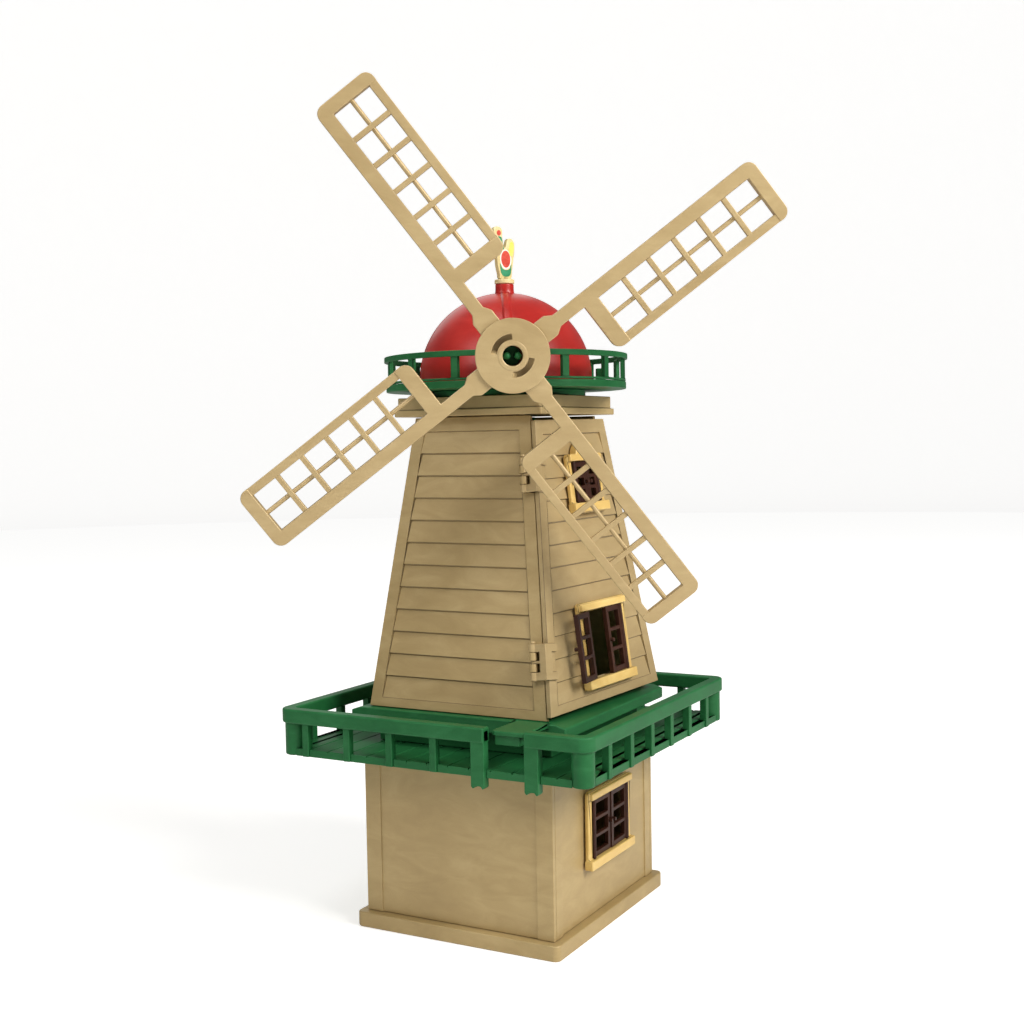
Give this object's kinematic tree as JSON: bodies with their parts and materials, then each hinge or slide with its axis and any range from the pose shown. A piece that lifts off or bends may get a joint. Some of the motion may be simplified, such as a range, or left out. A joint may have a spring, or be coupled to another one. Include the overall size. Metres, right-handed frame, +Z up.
{
  "type": "toy windmill",
  "caption": "Moulded-plastic toy windmill: house on a base plate, railed deck, tower with hinged side, lattice casements, turning cap and lattice sails.",
  "frame": {"origin": "middle of the base plate's underside", "axes": "+Z up, the front wall faces -Y and the tower door +X"},
  "size_m": [0.2944, 0.271, 0.4992],
  "materials": {
    "tan": "satin moulded plastic",
    "tan_light": "satin moulded plastic",
    "green": "satin moulded plastic",
    "red": "satin moulded plastic",
    "yellow": "satin moulded plastic",
    "brown": "satin moulded plastic",
    "cream": "satin moulded plastic"
  },
  "bodies": {
    "house": {"base_plate": "tan", "cap_neck": "green", "deck_floor": "green", "deck_railing": "green", "door_pin_lower": "tan_light", "door_pin_upper": "tan_light", "ground_back_wall": "tan", "ground_front_wall": "tan", "ground_left_wall": "tan", "ground_left_window_frame": "yellow", "ground_right_wall": "tan", "ground_right_window_frame": "yellow", "left_lower_window_frame": "yellow", "left_upper_window_frame": "yellow", "plinth": "green", "tower_back_wall": "tan", "tower_front_wall": "tan", "tower_left_wall": "tan", "tower_slab": "tan"},
    "door": {"tower_door": "tan_light", "door_lower_window_frame": "yellow", "door_upper_window_frame": "yellow"},
    "cap": {"gallery_floor": "green", "gallery_rail": "green", "dome_front": "red", "dome_back": "red", "dome_boss": "red", "axle_housing": "red", "sail_axle": "green", "axle_block": "green", "cap_pivot": "green", "cap_retainer": "green"},
    "rotor": {"hub_disc": "tan_light", "hub_back": "tan_light", "sail_1": "tan_light", "sail_2": "tan_light", "sail_3": "tan_light", "sail_4": "tan_light"},
    "weathercock": {"finial_disc": "cream", "cockerel": "cream"},
    "door_lower_window_left_leaf": {"door_lower_window_left_leaf": "brown"},
    "door_lower_window_right_leaf": {"door_lower_window_right_leaf": "brown"},
    "door_upper_window_left_leaf": {"door_upper_window_left_leaf": "brown"},
    "door_upper_window_right_leaf": {"door_upper_window_right_leaf": "brown"},
    "ground_left_window_left_leaf": {"ground_left_window_left_leaf": "brown"},
    "ground_left_window_right_leaf": {"ground_left_window_right_leaf": "brown"},
    "ground_right_window_left_leaf": {"ground_right_window_left_leaf": "brown"},
    "ground_right_window_right_leaf": {"ground_right_window_right_leaf": "brown"},
    "left_lower_window_left_leaf": {"left_lower_window_left_leaf": "brown"},
    "left_lower_window_right_leaf": {"left_lower_window_right_leaf": "brown"},
    "left_upper_window_left_leaf": {"left_upper_window_left_leaf": "brown"},
    "left_upper_window_right_leaf": {"left_upper_window_right_leaf": "brown"}
  },
  "joints": [
    {"name": "door_hinge", "type": "hinge", "parent": "house", "child": "door", "pos_m": [0.05526, -0.0711, 0.13659], "axis": [0.1181, -0.1442, -0.9825], "range_deg": [-5, 45]},
    {"name": "door_lower_window_left_hinge", "type": "hinge", "parent": "door", "child": "door_lower_window_left_leaf", "pos_m": [0.06599, -0.02221, 0.17528], "axis": [0.1326, -0.0006, -0.9912], "range_deg": [-168, 0]},
    {"name": "door_lower_window_right_hinge", "type": "hinge", "parent": "door", "child": "door_lower_window_right_leaf", "pos_m": [0.0698, 0.01961, 0.17577], "axis": [-0.1326, 0.0006, 0.9912], "range_deg": [-6, 162]},
    {"name": "door_upper_window_left_hinge", "type": "hinge", "parent": "door", "child": "door_upper_window_left_leaf", "pos_m": [0.05384, -0.0122, 0.27303], "axis": [0.1326, -0.0006, -0.9912], "range_deg": [-3, 165]},
    {"name": "door_upper_window_right_hinge", "type": "hinge", "parent": "door", "child": "door_upper_window_right_leaf", "pos_m": [0.0562, 0.0137, 0.27333], "axis": [-0.1326, 0.0006, 0.9912], "range_deg": [-2, 166]},
    {"name": "ground_left_window_left_hinge", "type": "hinge", "parent": "house", "child": "ground_left_window_left_leaf", "pos_m": [-0.0683, 0.024, 0.064], "axis": [0, 0, -1], "range_deg": [0, 168]},
    {"name": "ground_left_window_right_hinge", "type": "hinge", "parent": "house", "child": "ground_left_window_right_leaf", "pos_m": [-0.0683, -0.024, 0.064], "axis": [0, 0, 1], "range_deg": [-2, 166]},
    {"name": "ground_right_window_left_hinge", "type": "hinge", "parent": "house", "child": "ground_right_window_left_leaf", "pos_m": [0.0683, -0.024, 0.064], "axis": [0, 0, -1], "range_deg": [0, 168]},
    {"name": "ground_right_window_right_hinge", "type": "hinge", "parent": "house", "child": "ground_right_window_right_leaf", "pos_m": [0.0683, 0.024, 0.064], "axis": [0, 0, 1], "range_deg": [-1.5, 166.5]},
    {"name": "left_lower_window_left_hinge", "type": "hinge", "parent": "house", "child": "left_lower_window_left_leaf", "pos_m": [-0.062, 0.021, 0.17463], "axis": [-0.1193, 0, -0.9929], "range_deg": [-3, 165]},
    {"name": "left_lower_window_right_hinge", "type": "hinge", "parent": "house", "child": "left_lower_window_right_leaf", "pos_m": [-0.062, -0.021, 0.17463], "axis": [0.1193, 0, 0.9929], "range_deg": [-165, 3]},
    {"name": "left_upper_window_left_hinge", "type": "hinge", "parent": "house", "child": "left_upper_window_left_leaf", "pos_m": [-0.05025, 0.011, 0.27242], "axis": [-0.1193, 0, -0.9929], "range_deg": [0, 168]},
    {"name": "left_upper_window_right_hinge", "type": "hinge", "parent": "house", "child": "left_upper_window_right_leaf", "pos_m": [-0.05025, -0.015, 0.27242], "axis": [0.1193, 0, 0.9929], "range_deg": [-12, 156]},
    {"name": "cap_turn", "type": "hinge", "parent": "house", "child": "cap", "pos_m": [0, 0, 0.3302], "axis": [0, 0, 1], "continuous": true},
    {"name": "sail_spin", "type": "hinge", "parent": "cap", "child": "rotor", "pos_m": [0.05562, -0.09257, 0.3459], "axis": [0.5138, -0.8551, -0.0698], "continuous": true},
    {"name": "weathercock_turn", "type": "hinge", "parent": "cap", "child": "weathercock", "pos_m": [0, 0, 0.3974], "axis": [0, 0, 1], "continuous": true}
  ]
}
